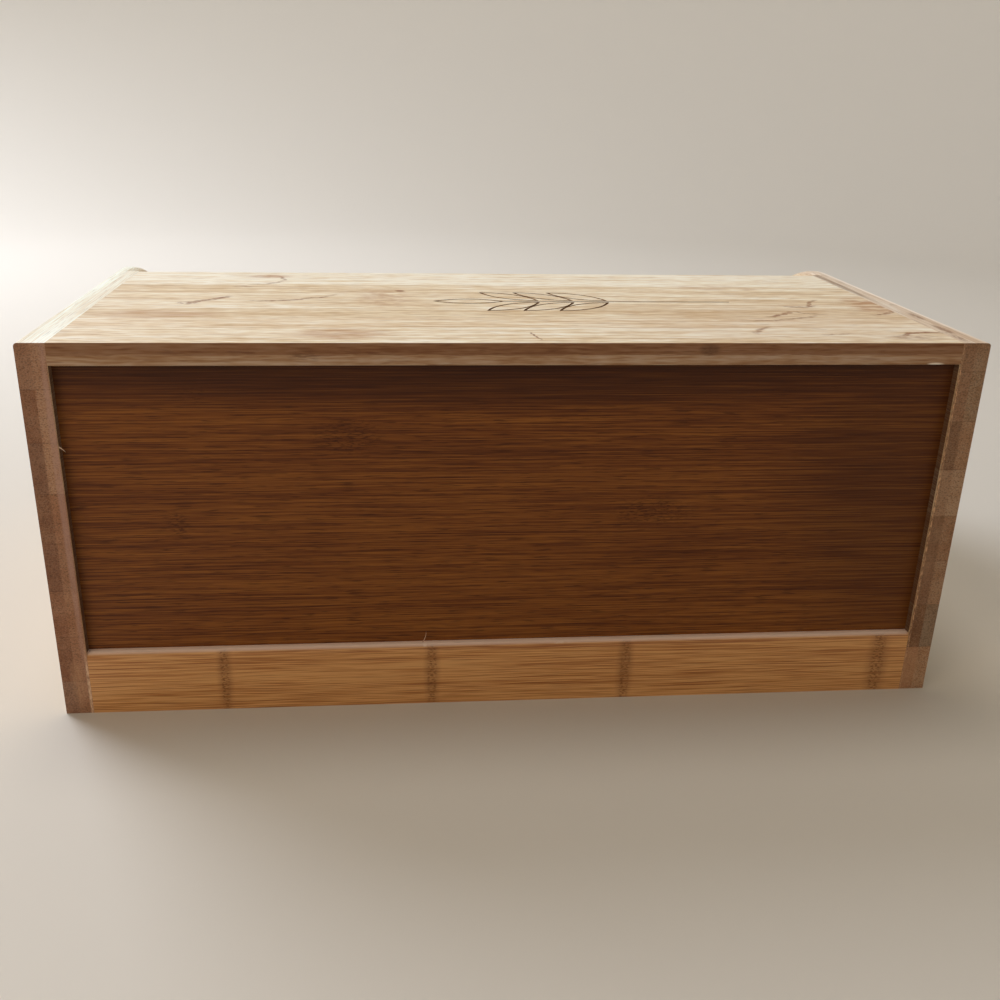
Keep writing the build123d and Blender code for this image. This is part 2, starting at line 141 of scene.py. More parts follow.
def layFloor():
    mesh = bmesh.new()
    profile = [(studio["floorRadius"] - studio["flatRim"], 0.0), (studio["floorRadius"], 0.0)]
    for step in range(1, studio["coveSteps"] + 1):
        turn = math.radians(90 * step / studio["coveSteps"])
        profile.append((studio["floorRadius"] + studio["coveRadius"] * math.sin(turn),
                        studio["coveRadius"] * (1 - math.cos(turn))))
    profile.append((profile[-1][0], studio["coveTop"]))
    sides = studio["coveSides"]
    rings = [[mesh.verts.new((radius * math.cos(2 * math.pi * side / sides),
                              radius * math.sin(2 * math.pi * side / sides), z)) for side in range(sides)]
             for radius, z in profile]
    mesh.faces.new(rings[0])
    for lower, upper in zip(rings, rings[1:]):
        for side in range(sides):
            after = (side + 1) % sides
            mesh.faces.new((lower[side], lower[after], upper[after], upper[side])).smooth = True
    paper, tree, shader = newMaterial("mattStudioPaper")
    feed(tree, shader, {"Base Color": linear(studio["floorHex"]), "Roughness": studio["floorRoughness"]})
    floor = asObject("studioFloor", mesh, paper)


def softLight(name):
    kind, place = studio[name + "Kind"], studio[name + "Place"]
    data = bpy.data.lights.new(name + "Light", kind)
    if kind == "AREA":
        data.shape = "DISK"
        data.size = studio[name + "Size"]
    else:
        data.shadow_soft_size = studio[name + "Size"] / 2
    data.energy = studio[name + "Power"]
    data.color = linear(studio[name + "Hex"])[:3]
    lamp = bpy.data.objects.new(name + "Light", data)
    lamp.location = place
    lamp.rotation_euler = (Vector(studio["lightsAimAt"]) - Vector(place)).to_track_quat("-Z", "Y").to_euler()
    bpy.context.scene.collection.objects.link(lamp)


layFloor()
for lightName in ("window", "ceiling", "fill"):
    softLight(lightName)
world = bpy.data.worlds.new("studioAir")
world.use_nodes = True
world.node_tree.nodes["Background"].inputs[0].default_value = linear(studio["airHex"])
world.node_tree.nodes["Background"].inputs[1].default_value = studio["airStrength"]
bpy.context.scene.world = world
print("camera, floor and light ready")


# Bamboo: strips pressed and glued into boards, sanded and given a thin satin lacquer. This is what every
# board shares. Sizes are in mm. A strip is about 20 wide and 5 to 6 thick, its fibre bundles are about half
# a millimetre wide, and a knuckle comes every 250 or so. On a sawn end the bundles are drawn as dots about
# twice as wide as they are, or they wouldn't show.
bambooBase = {
    "axes": "xyz",  # along the grain, across the strips, through the board
    "strip": 20.5,
    "stripStart": 0.0,
    "ply": 6.0,
    "plyStart": 0.0,
    "seed": 1.0,
    "darkHex": "#bd9362",
    "midHex": "#ddbd8e",
    "lightHex": "#efdcb4",
    "blushHex": "#dcae85",
    "veinHex": "#7d5633",
    "endHex": ("#dcc8a8", "#dcc8a8"),  # sawn ends multiply by these: lower ply, upper ply
    "farEndHex": "#dcc8a8",  # and the ends that face the other way by this
    "endTones": (),  # tones of the strips on those ends, one row for each ply
    "edgeToneAndPaintedLightHex": ("#ffffff", "#ffffff"),  # sawn long edges likewise; on the sides this tint is a painted highlight, on the top panel's rear edge painted shade over the plies' own tones
    "farEdgeHex": "#f4ead9",
    "edgePaintedLightGain": 1.0,
    "paintedEdgeLightFade": (),  # where along the board the edge tint, a painted highlight on the sides, starts and is full
    "turned": (0.6, 0.9),  # how far a face has to turn to count as sawn
    "toneStops": (0.36, 0.50, 0.62),  # where the figure is dark, middling and light
    "toneStep": 0.16,
    "blush": 0.3,
    "slide": 700.0,  # no two strips carry the same figure
    "drift": (90.0, 12.0),  # the fibres wander a little from the straight line
    "wobble": 1.6,
    "streak": (60.0, 0.5),  # length and width
    "fine": (20.0, 0.28),
    "broad": (170.0, 9.0),
    "contrast": 1.25,
    "dash": (16.0, 0.55),
    "dashAt": 0.60,
    "dashShade": 0.35,
    "dashSpan": 0.09,
    "seamHalf": (0.45, 0.15),  # where its shade starts and is full, from its middle
    "seamShade": 0.25,
    "knuckleGap": 260.0,
    "knuckleReach": 3.5,
    "knuckleRag": (3.0, 9.0),  # how broad its teeth are, and how far they reach
    "knuckleSpeck": (1.9, 0.8),
    "speckAt": (0.42, 0.60, 0.2),  # from where to where a speck shows, and the least it shows
    "knuckleShade": 0.4,
    "bundle": (0.8, 1.1, 8.0),  # a dot on a sawn end: across, through and along
    "bundleAt": (0.12, 0.5),
    "bundleShade": (0.62, 1.08),
    "glueAt": (0.21, 0.29),  # the glue line between two plies, which wanders a little
    "figureAt": (0.3, 0.7),
    "roughness": (0.40, 0.52),
    "matter": {"shade": 0.12, "end": 0.15},  # how much rougher a dark place and a sawn end are
    "relief": {"streak": 0.5, "fine": 0.5, "shade": -0.9, "dot": 0.6},
    "bump": 0.45,
    "bumpDepth": 0.3,
    "ior": 1.5,
    "coat": 0.10,
    "coatRoughness": 0.28,
    "gloss": 0.5,
    "marks": (),  # marks listed one by one, by their place along and across the board
    "clouds": (),  # the same, but larger and in a tone of their own
    "cloudHex": "#b07a4c",
    "endMarks": (),  # the same on a sawn end, by their place across and through it
    "edgeMarks": (),  # and on a sawn long edge, by their place along and through it
    "stripTones": (),
    "crestHighlightHex": "",  # the painted highlight on an edge that faces up
    "crestAt": (0.6, 0.95),
    "crestShare": 0.95,
    "stainsAndShade": (),  # boxes in the object's own mm, darkened inside: real stains and painted shade
    "shares": (0.45, 0.27, 0.28),  # of streak, fine and broad figure
}
# A mark is a stroke whose half thickness is line, or an oval patch where line is 0. It has a place, half
# sizes and a turn in degrees. bend bows a stroke, and waver is how closely and how far it wanders. grit, a
# length and a width, breaks the mark up, gritAt is where that starts and ends, and soft is what always shows.
markBase = {
    "turn": 0.0, "bend": 0.0, "line": 0.0, "waver": (2.3, 0.9),
    "grit": (3.0, 1.2), "gritAt": (0.40, 0.62), "soft": 0.0,
}
rollTop = {"pivot": (-5.0, 42.0), "slatRadius": 109.5, "canvasRadius": 109.0}  # the pivot's y and z, in mm


def roundRoll(tree, part, radius):  # the way round the roll, and how far forward and up from its pivot
    forward = add(tree, "Math", (rollTop["pivot"][0], part[1]), operation="SUBTRACT")
    up = add(tree, "Math", (part[2], rollTop["pivot"][1]), operation="SUBTRACT")
    turn = add(tree, "Math", (up, forward), operation="ARCTAN2")
    return add(tree, "Math", (turn, radius), operation="MULTIPLY"), forward, up


def markMask(tree, flat, mark):  # how strongly one listed mark shows at a point of the board
    spot = markBase | mark
    local = add(tree, "Mapping", {
        "Vector": flat, "Location": (*spot["at"], 0), "Rotation": (0, 0, math.radians(spot["turn"])),
        "Scale": (*spot["half"], 1)}, vector_type="TEXTURE")
    length, width = spot["grit"]
    grit = add(tree, "TexNoise", {
        "Vector": add(tree, "VectorMath", (flat, (1 / length, 1 / width, 1)), operation="MULTIPLY"),
        "Scale": 1.0, "Detail": 2.0})
    broken = add(tree, "MapRange", (grit, *spot["gritAt"], spot["soft"], 1))
    if spot["line"]:
        apart = add(tree, "SeparateXYZ", (local,), out=None)
        wave = add(tree, "TexNoise", {
            "Vector": add(tree, "VectorMath", (local, (spot["waver"][0], 0, 0)), operation="MULTIPLY"),
            "W": sum(spot["at"]), "Scale": 1.0, "Detail": 2.0}, noise_dimensions="4D")
        square = add(tree, "Math", (apart.outputs[0], apart.outputs[0]), operation="MULTIPLY")
        sag = add(tree, "Math", (square, spot["bend"], apart.outputs[1]), operation="MULTIPLY_ADD")
        middle = add(tree, "Math", (wave, spot["waver"][1], sag), operation="MULTIPLY_ADD")
        centred = add(tree, "Math", (middle, spot["waver"][1] / 2), operation="SUBTRACT")
        away = add(tree, "Math", (centred,), operation="ABSOLUTE")
        thin = spot["line"] / spot["half"][1]
        stroke = add(tree, "MapRange", (away, thin, thin * 0.25, 0, 1), interpolation_type="SMOOTHSTEP")
        end = add(tree, "Math", (apart.outputs[0],), operation="ABSOLUTE")
        fade = add(tree, "MapRange", (end, 1.0, 0.6, 0, 1))
        shape = add(tree, "Math", (stroke, fade), operation="MULTIPLY")
    else:
        reach = add(tree, "VectorMath", (local,), out=1, operation="LENGTH")
        shape = add(tree, "MapRange", (reach, 1.0, 0.35, 0, 1), interpolation_type="SMOOTHSTEP")
    cut = add(tree, "Math", (shape, broken), operation="MULTIPLY")
    return add(tree, "Math", (cut, spot["shade"]), operation="MULTIPLY")


def layOut(tree, look):  # where a point lies in the board, in mm, which way its face looks, and its grain
    here = add(tree, "TexCoord", out=None)
    inMm = add(tree, "VectorMath", (here.outputs["Object"], (1 / mm,) * 3), operation="MULTIPLY")
    part = add(tree, "SeparateXYZ", (inMm,), out=None).outputs
    facing = add(tree, "SeparateXYZ", (here.outputs["Normal"],), out=None).outputs
    at = SimpleNamespace(inMm=inMm, upFacing=facing[2])
    if look["axes"] == "roll":  # slats: across goes round the roll, through is the distance from its pivot
        at.along = part[0]
        at.across, forward, up = roundRoll(tree, part, rollTop["slatRadius"])
        fromPivot = add(tree, "CombineXYZ", (0, forward, up))
        at.through = add(tree, "VectorMath", (fromPivot,), out=1, operation="LENGTH")
        at.endFacing, at.edgeFacing = facing[0], None
    else:
        at.along, at.across, at.through = [part["xyz".index(axis)] for axis in look["axes"]]
        at.endFacing, at.edgeFacing = [facing["xyz".index(axis)] for axis in look["axes"][:2]]

    drift = add(tree, "TexNoise", {"Vector": add(tree, "CombineXYZ", (
        add(tree, "Math", (at.along, look["drift"][0]), operation="DIVIDE"),
        add(tree, "Math", (at.across, look["drift"][1]), operation="DIVIDE"), 0)),
        "Scale": 1.0, "Detail": 2.0})
    at.bent = add(tree, "Math", (drift, look["wobble"], at.across), operation="MULTIPLY_ADD")
    at.fromStart = add(tree, "Math", (at.across, look["stripStart"]), operation="SUBTRACT")
    at.stripAt = add(tree, "Math", (at.fromStart, look["strip"]), operation="DIVIDE")
    fromFace = add(tree, "Math", (at.through, look["plyStart"]), operation="SUBTRACT")
    plyAt = add(tree, "Math", (fromFace, look["ply"]), operation="DIVIDE")
    chance = add(tree, "TexWhiteNoise", {"Vector": add(tree, "CombineXYZ", (
        add(tree, "Math", (at.stripAt,), operation="FLOOR"),
        add(tree, "Math", (plyAt,), operation="FLOOR"), look["seed"]))}, out=None)
    at.tone = chance.outputs["Value"]
    at.warmth = add(tree, "SeparateColor", (chance.outputs["Color"],), out=None).outputs[1]
    at.slid = add(tree, "Math", (at.tone, look["slide"], at.along), operation="MULTIPLY_ADD")
    at.streak = grain(tree, at, look["streak"], 2.0)
    at.fine = grain(tree, at, look["fine"], 1.0)
    at.broad = grain(tree, at, look["broad"], 2.0)
    plyEdge = add(tree, "Math", (at.fine, 0.5, plyAt), operation="MULTIPLY_ADD")
    at.upper = add(tree, "MapRange", (plyEdge, *look["glueAt"], 0, 1))  # 0 in the lower ply, 1 in the upper
    return at


def grain(tree, at, size, detail):  # noise drawn out along the fibres, by its length and width
    length, width = size
    where = add(tree, "CombineXYZ", (
        add(tree, "Math", (at.slid, length), operation="DIVIDE"),
        add(tree, "Math", (at.bent, width), operation="DIVIDE"),
        add(tree, "Math", (at.through, width), operation="DIVIDE")))
    return add(tree, "TexNoise", {"Vector": where, "Scale": 1.0, "Detail": detail, "Roughness": 0.55})


def byStrip(tree, at, values):  # one value for each strip, listed from the first strip on
    count = len(values)
    place = add(tree, "Math", (at.stripAt, count), operation="DIVIDE")
    ramp = add(tree, "ValToRGB", (place,), out=None, stops=[
        (index / count, (value, value, value, 1)) for index, value in enumerate(values)])
    ramp.color_ramp.interpolation = "CONSTANT"
    return ramp.outputs[0]


def woodColour(tree, look, at):  # the tone of a strip and the figure in it
    shares, contrast = look["shares"], look["contrast"]
    mixed = add(tree, "Math", (at.fine, shares[1]), operation="MULTIPLY")
    mixed = add(tree, "Math", (at.streak, shares[0], mixed), operation="MULTIPLY_ADD")
    mixed = add(tree, "Math", (at.broad, shares[2], mixed), operation="MULTIPLY_ADD")
    mixed = add(tree, "Math", (mixed, contrast, 0.5 - 0.5 * contrast), operation="MULTIPLY_ADD")
    strips = byStrip(tree, at, look["stripTones"]) if look["stripTones"] else at.tone
    stepped = add(tree, "Math", (strips, 0.5), operation="SUBTRACT")
    mixed = add(tree, "Math", (stepped, look["toneStep"], mixed), operation="MULTIPLY_ADD")
    figure = [linear(look[tint]) for tint in ("darkHex", "midHex", "lightHex")]
    colour = add(tree, "ValToRGB", (mixed,), stops=zip(look["toneStops"], figure))
    blush = add(tree, "Math", (at.warmth, look["blush"]), operation="MULTIPLY")
    return add(tree, "Mix", {0: blush, 6: colour, 7: linear(look["blushHex"])}, **colourMix)


def darkPlaces(tree, look, at):  # short pores along the fibre, knuckles, and glue lines between strips
    pores = grain(tree, at, look["dash"], 1.0)
    dash = add(tree, "MapRange", (pores, look["dashAt"], look["dashAt"] + look["dashSpan"], 0, 1))
    # a knuckle is a ragged band across each strip, where the fibres break up
    ragged = add(tree, "TexNoise", {"Vector": add(tree, "CombineXYZ", (
        add(tree, "Math", (at.bent, look["knuckleRag"][0]), operation="DIVIDE"), at.stripAt, 0)),
        "Scale": 1.0, "Detail": 2.0})
    joint = add(tree, "Math", (ragged, look["knuckleRag"][1], at.slid), operation="MULTIPLY_ADD")
    fromJoint = add(tree, "Math", (joint, look["knuckleGap"] / 2), operation="PINGPONG")
    band = add(tree, "MapRange", (fromJoint, look["knuckleReach"], 0, 0, 1), interpolation_type="SMOOTHSTEP")
    speck = add(tree, "MapRange", (grain(tree, at, look["knuckleSpeck"], 1.0), *look["speckAt"], 1))
    knuckle = add(tree, "Math", (band, speck), operation="MULTIPLY")
    toSeam = add(tree, "Math", (at.fromStart, look["strip"] / 2), operation="PINGPONG")
    seam = add(tree, "MapRange", (toSeam, *look["seamHalf"], 0, 1))
    shade = add(tree, "Math", (dash, look["dashShade"]), operation="MULTIPLY")
    for mask, strength in ((knuckle, look["knuckleShade"]), (seam, look["seamShade"])):
        strong = add(tree, "Math", (mask, strength), operation="MULTIPLY")
        shade = add(tree, "Math", (shade, strong), operation="MAXIMUM")
    return shade


# on the back panel some of these marks are painted shade
def markFace(tree, look, at, colour, shade):  # listed marks only colour the face, they aren't cut into it
    flat = add(tree, "CombineXYZ", (at.along, at.across, 0))
    for mark in look["marks"]:
        shade = add(tree, "Math", (shade, markMask(tree, flat, mark)), operation="MAXIMUM")
    colour = add(tree, "Mix", {0: shade, 6: colour, 7: linear(look["veinHex"])}, **colourMix)
    for cloud in look["clouds"]:
        mask = markMask(tree, flat, cloud)
        colour = add(tree, "Mix", {0: mask, 6: colour, 7: linear(look["cloudHex"])}, **colourMix)
    return colour, shade


def sawnEnds(tree, look, at, colour):  # they show the fibre bundles as dots, and take the lacquer darker; on the sides the ends that face back are tinted darker than those that face forward, as painted shade
    endOn = add(tree, "Math", (at.endFacing,), operation="ABSOLUTE")
    ends = add(tree, "MapRange", (endOn, *look["turned"], 0, 1))
    dots = add(tree, "TexVoronoi", {"Vector": add(tree, "CombineXYZ", (
        add(tree, "Math", (at.across, look["bundle"][0]), operation="DIVIDE"),
        add(tree, "Math", (at.through, look["bundle"][1]), operation="DIVIDE"),
        add(tree, "Math", (at.along, look["bundle"][2]), operation="DIVIDE"))), "Scale": 1.0})
    dotted = add(tree, "MapRange", (dots, *look["bundleAt"], *look["bundleShade"]))
    lowerEnd, upperEnd = [linear(tint) for tint in look["endHex"]]
    endTint = add(tree, "Mix", {0: at.upper, 6: lowerEnd, 7: upperEnd}, **colourMix)
    if look["endTones"]:
        lowerTones, upperTones = [byStrip(tree, at, row) for row in look["endTones"]]
        tones = add(tree, "Mix", {0: at.upper, 6: lowerTones, 7: upperTones}, **colourMix)
        endTint = add(tree, "Mix", {0: 1.0, 6: endTint, 7: tones}, **colourTint)
    farEnd = add(tree, "Math", (at.endFacing, 0.0), operation="LESS_THAN")
    endTint = add(tree, "Mix", {0: farEnd, 6: endTint, 7: linear(look["farEndHex"])}, **colourMix)
    endColour = add(tree, "Mix", {0: 1.0, 6: colour, 7: endTint}, **colourTint)
    endColour = add(tree, "Mix", {0: 1.0, 6: endColour, 7: dotted}, **colourTint)
    section = add(tree, "CombineXYZ", (at.across, at.through, 0))
    for mark in look["endMarks"]:
        mask = markMask(tree, section, mark)
        mask = add(tree, "Math", (mask, farEnd), operation="SUBTRACT", use_clamp=True)
        endColour = add(tree, "Mix", {0: mask, 6: endColour, 7: linear(mark["hex"])}, **colourMix)
    return add(tree, "Mix", {0: ends, 6: colour, 7: endColour}, **colourMix), ends, dots


def sawnEdges(tree, look, at, colour):  # the long edges, with a tint for each ply, which is a painted highlight on the sides and painted shade on the top panel's rear edge
    edgeOn = add(tree, "Math", (at.edgeFacing,), operation="ABSOLUTE")
    sides = add(tree, "MapRange", (edgeOn, *look["turned"], 0, 1))
    plyAndLightTints = [[value * look["edgePaintedLightGain"] for value in linear(tint)] for tint in look["edgeToneAndPaintedLightHex"]]
    sawn = add(tree, "Mix", {0: at.upper, 6: plyAndLightTints[0], 7: plyAndLightTints[1]}, **colourMix)
    if look["paintedEdgeLightFade"]:
        fade = add(tree, "MapRange", (at.along, *look["paintedEdgeLightFade"], 0, 1), interpolation_type="SMOOTHSTEP")
        sawn = add(tree, "Mix", {0: fade, 6: linear(look["farEdgeHex"]), 7: sawn}, **colourMix)
    farEdge = add(tree, "Math", (at.edgeFacing, 0.0), operation="LESS_THAN")
    sawn = add(tree, "Mix", {0: farEdge, 6: sawn, 7: linear(look["farEdgeHex"])}, **colourMix)
    colour = add(tree, "Mix", {0: sides, 6: colour, 7: sawn}, **colourTint)
    section = add(tree, "CombineXYZ", (at.along, at.through, 0))
    for mark in look["edgeMarks"]:
        mask = markMask(tree, section, mark)
        mask = add(tree, "Math", (mask, farEdge), operation="SUBTRACT", use_clamp=True)
        mask = add(tree, "Math", (mask, sides), operation="MULTIPLY")
        colour = add(tree, "Mix", {0: mask, 6: colour, 7: linear(mark["hex"])}, **colourMix)
    return colour


def stainAndShadeBoxes(tree, look, at, colour):  # darkens what lies inside each box, a little unevenly
    stainedAndShaded = 0.0
    for darkBox in look["stainsAndShade"]:
        low, high = Vector(darkBox["low"]), Vector(darkBox["high"])
        off = add(tree, "VectorMath", (at.inMm, tuple((low + high) / 2)), operation="SUBTRACT")
        off = add(tree, "VectorMath", (off,), operation="ABSOLUTE")
        off = add(tree, "VectorMath", (off, tuple((high - low) / 2)), operation="DIVIDE")
        reach = add(tree, "SeparateXYZ", (off,), out=None).outputs
        furthest = add(tree, "Math", (reach[0], reach[1]), operation="MAXIMUM")
        furthest = add(tree, "Math", (furthest, reach[2]), operation="MAXIMUM")
        inside = add(tree, "Math", (furthest, 1.0), operation="LESS_THAN")
        stainedAndShaded = add(tree, "Math", (inside, stainedAndShaded), operation="MAXIMUM")
        cloud = add(tree, "MapRange", (at.fine, *look["figureAt"], 0.8 * darkBox["share"], darkBox["share"]))
        cloud = add(tree, "Math", (inside, cloud), operation="MULTIPLY")
        colour = add(tree, "Mix", {0: cloud, 6: colour, 7: linear(darkBox["hex"])}, **colourMix)
    return colour, stainedAndShaded


def surfaceRelief(tree, look, at, cutIn, endDots):  # what is cut in and what stands up
    relief = look["relief"]
    height = add(tree, "Math", (at.fine, relief["fine"]), operation="MULTIPLY")
    height = add(tree, "Math", (at.streak, relief["streak"], height), operation="MULTIPLY_ADD")
    height = add(tree, "Math", (cutIn, relief["shade"], height), operation="MULTIPLY_ADD")
    height = add(tree, "Math", (endDots, relief["dot"], height), operation="MULTIPLY_ADD")
    return add(tree, "Bump", {"Strength": look["bump"], "Distance": look["bumpDepth"] * mm, "Height": height})


def bamboo(name, changes=()):
    look = bambooBase | dict(changes)
    material, tree, shader = newMaterial(name)
    at = layOut(tree, look)
    cutIn = darkPlaces(tree, look, at)
    colour, shade = markFace(tree, look, at, woodColour(tree, look, at), cutIn)
    colour, ends, dots = sawnEnds(tree, look, at, colour)
    if at.edgeFacing:
        colour = sawnEdges(tree, look, at, colour)
    # painted highlight: faces that turn up are lightened towards the crest tint
    if look["crestHighlightHex"]:
        crestHighlight = add(tree, "MapRange", (at.upFacing, *look["crestAt"], 0, look["crestShare"]))
        colour = add(tree, "Mix", {0: crestHighlight, 6: colour, 7: linear(look["crestHighlightHex"])}, **colourMix)
    colour, stainedAndShaded = stainAndShadeBoxes(tree, look, at, colour)
    endDots = add(tree, "Math", (dots, ends), operation="MULTIPLY")
    rough = add(tree, "MapRange", (at.fine, *look["figureAt"], *look["roughness"]))
    rough = add(tree, "Math", (shade, look["matter"]["shade"], rough), operation="MULTIPLY_ADD")
    rough = add(tree, "Math", (ends, look["matter"]["end"], rough), operation="MULTIPLY_ADD")
    rough = add(tree, "Math", (rough, stainedAndShaded), operation="MAXIMUM")  # stained, burnt and painted-shade places are matt
    feed(tree, shader, {
        "Base Color": colour, "Roughness": rough, "Normal": surfaceRelief(tree, look, at, cutIn, endDots),
        "IOR": look["ior"], "Specular IOR Level": look["gloss"],
        "Coat Weight": look["coat"], "Coat Roughness": look["coatRoughness"]})
    return material


def dress(material, *names):
    for name in names:
        nodes[name].data.materials.clear()
        nodes[name].data.materials.append(material)


# How a board's edges are eased: sizes are in mm and angles in degrees
easing = {"weld": 0.001, "flat": 0.3, "sharp": 40, "smooth": 50, "shortest": 6.0, "steps": 2}


def ease(name, material, width=0.5):  # a copy of a board with its long sharp edges sanded off
    mesh = bmesh.new()
    mesh.from_mesh(nodes[name].data)
    bmesh.ops.remove_doubles(mesh, verts=mesh.verts, dist=easing["weld"] * mm)
    bmesh.ops.dissolve_limit(mesh, verts=mesh.verts, edges=mesh.edges,
                             angle_limit=math.radians(easing["flat"]))
    sharp = [edge for edge in mesh.edges if len(edge.link_faces) == 2
             and edge.calc_length() > easing["shortest"] * mm
             and edge.calc_face_angle_signed() > math.radians(easing["sharp"])]
    bmesh.ops.bevel(mesh, geom=sharp, offset=width * mm, offset_type="OFFSET", segments=easing["steps"],
                    profile=0.5, affect="EDGES", clamp_overlap=True)
    for face in mesh.faces:
        face.smooth = True
    for edge in mesh.edges:
        edge.smooth = len(edge.link_faces) == 2 and edge.calc_face_angle() < math.radians(easing["smooth"])
    piece = asObject(name + "_eased", mesh, material)
    normals = piece.modifiers.new("flatFaces", "WEIGHTED_NORMAL")
    normals.keep_sharp = True
    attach(piece, bodyOf[name])
    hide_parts(name)
    return piece


def runOut(piece, sign):  # the router's rounding of a side's inner edge runs out along the top panel
    inner, width, start, end, steps = [sideLook[key] for key in ("inner", "easeWidth", "roundFrom", "roundTo",
                                                                "roundSteps")]
    mesh = bmesh.new()
    mesh.from_mesh(piece.data)
    for step in range(steps + 1):
        y = start + (end - start) * step / steps
        bmesh.ops.bisect_plane(mesh, geom=mesh.verts[:] + mesh.edges[:] + mesh.faces[:],
                               dist=easing["weld"] * mm, plane_co=(0, y * mm, 0), plane_no=(0, 1, 0))
    top = max(vert.co.z for vert in mesh.verts)
    near = 1.2 * width * mm
    for vert in mesh.verts:
        aside = vert.co.x * sign - inner * mm
        below = top - vert.co.z
        if aside < near and below < near and (start - 0.1) * mm < vert.co.y < end * mm:
            share = (vert.co.y / mm - start) / (end - start)
            grow = 1 + (sideLook["roundRadius"] / width - 1) * (1 - share) ** 1.5
            vert.co.x = sign * (inner * mm + aside * grow)
            vert.co.z = top - below * grow
    mesh.to_mesh(piece.data)
    mesh.free()


# Top panel: pale pressed bamboo. The eye gets broad flat strips of slightly different tones, lined by fine
# fibres, with a few brown squiggles where the strips were cut near a knuckle.
topLook = {
    "axes": "xyz", "stripStart": -24.3, "ply": 5.0, "plyStart": 163.4, "seed": 3.0,
    # Painted shade: the rear edge, which faces away from the window, is tinted darker than the front edge;
    # the upper ply being darker than the lower is the plies' own tone.
    "edgeToneAndPaintedLightHex": ("#c0a99c", "#9a7760"), "edgePaintedLightGain": 0.95, "endHex": ("#c8b090", "#c8b090"),
    "darkHex": "#c8a678", "midHex": "#ead6b3", "lightHex": "#fcf6e3", "veinHex": "#80430e", "blush": 0.12,
    "streak": (48.0, 1.5), "fine": (9.0, 1.0), "broad": (130.0, 5.0), "shares": (0.36, 0.36, 0.28),
    "contrast": 1.15, "gloss": 0.3, "coat": 0.03, "knuckleShade": 0.0, "dashShade": 0.3,
    "dash": (12.0, 1.0), "seamShade": 0.2, "toneStep": 0.15,
    "stripTones": (1.05, 1.0, 0.42, 0.55, 0.45, 0.3, 0.55, 0.8, 0.5),
    "marks": [
        {"at": (138, 58), "half": (15, 7), "turn": 42, "line": 3.0, "bend": 0.5, "soft": 0.35, "shade": 1},
        {"at": (147, 66), "half": (7, 5), "grit": (2.5, 2.5), "shade": 0.75},
        {"at": (98, 57), "half": (25, 8), "turn": 23, "line": 2.4, "bend": 0.9, "soft": 0.3, "shade": 0.88},
        {"at": (114, 12), "half": (12, 7), "turn": 36, "line": 2.0, "bend": 0.6, "soft": 0.3, "shade": 0.75},
        {"at": (110, -6), "half": (11, 7), "turn": -62, "line": 1.6, "bend": -0.7, "soft": 0.3,
         "shade": 0.75},
        {"at": (126, 22), "half": (8, 4), "grit": (5, 1.5), "shade": 0.62},
        {"at": (48, 32.5), "half": (3.4, 2.6), "gritAt": (0.1, 0.3), "shade": 1},
        {"at": (-146, 71), "half": (10, 6), "turn": 4, "line": 2.2, "bend": 0.6, "soft": 0.35, "shade": 0.94},
        {"at": (-154, 61), "half": (12, 5), "turn": 62, "line": 1.6, "bend": -0.5, "soft": 0.35,
         "shade": 0.94},
        {"at": (-130, 90), "half": (12, 6), "turn": 41, "line": 2.2, "bend": 0.4, "soft": 0.35, "shade": 1},
        {"at": (-144, 87), "half": (9, 5), "turn": -24, "line": 1.8, "bend": 0.4, "soft": 0.3, "shade": 0.81},
        {"at": (-128, 101), "half": (24, 7), "turn": 18, "line": 2.4, "bend": 0.7, "soft": 0.3,
         "shade": 0.75},
        {"at": (-108, 123), "half": (11, 7), "turn": 52, "line": 2.2, "bend": -0.4, "soft": 0.3,
         "shade": 0.81},
        {"at": (-140, 132), "half": (9, 4), "turn": 8, "line": 1.8, "shade": 0.62},
        {"at": (-183, 86), "half": (12, 7), "turn": 37, "line": 2.2, "bend": 0.5, "soft": 0.3, "shade": 0.94},
        {"at": (-176, 129), "half": (14, 7), "turn": 22, "line": 2.4, "bend": -0.8, "soft": 0.35, "shade": 1},
        {"at": (-172, 138), "half": (16, 8), "grit": (7, 2), "shade": 0.62},
        {"at": (-7.4, 136), "half": (8.5, 3.5), "turn": -78, "line": 0.7, "gritAt": (0.1, 0.3),
         "shade": 0.75},
    ],
    "clouds": [
        {"at": (155, 92), "half": (38, 13), "grit": (22, 5), "gritAt": (0.3, 0.6), "soft": 0.4, "shade": 0.5},
        {"at": (74, 132), "half": (27, 15), "grit": (9, 1.8), "gritAt": (0.35, 0.58), "soft": 0.3,
         "shade": 0.6},
        {"at": (56, 50), "half": (18, 30), "grit": (6, 6), "gritAt": (0.38, 0.62), "soft": 0.1, "shade": 0.5},
        {"at": (-182, 66), "half": (14, 30), "grit": (9, 4), "gritAt": (0.40, 0.56), "soft": 0.2,
         "shade": 0.75},
        {"at": (117, -9), "half": (16, 6), "grit": (8, 3), "gritAt": (0.3, 0.5), "soft": 0.3, "shade": 0.7},
        {"at": (-120, 110), "half": (110, 70), "grit": (50, 12), "gritAt": (0.2, 0.6), "soft": 0.6,
         "shade": 0.16},
        {"at": (-120, 20), "half": (30, 12), "grit": (12, 3), "gritAt": (0.42, 0.6), "shade": 0.4},
    ],
    "edgeMarks": [
        {"at": (-78.5, 165.6), "half": (6, 3.2), "grit": (2.6, 0.7), "soft": 0.5, "shade": 0.72,
         "hex": "#4f3019"},
        {"at": (87.5, 163), "half": (9, 3.5), "grit": (4.0, 0.8), "shade": 0.5, "hex": "#57371f"},
        {"at": (-177, 159.5), "half": (4.5, 0.7), "gritAt": (0.1, 0.3), "shade": 0.9, "hex": "#e8dccb"},
    ],
    # the laser leaves the floor and the walls of the ear's strokes brown
    "stainsAndShade": [{"low": (-117, 27, 160), "high": (35, 91, 168.3), "hex": "#74502f", "share": 1.0}],
}
ease("top_panel", bamboo("satinLacqueredBambooTop", topLook))
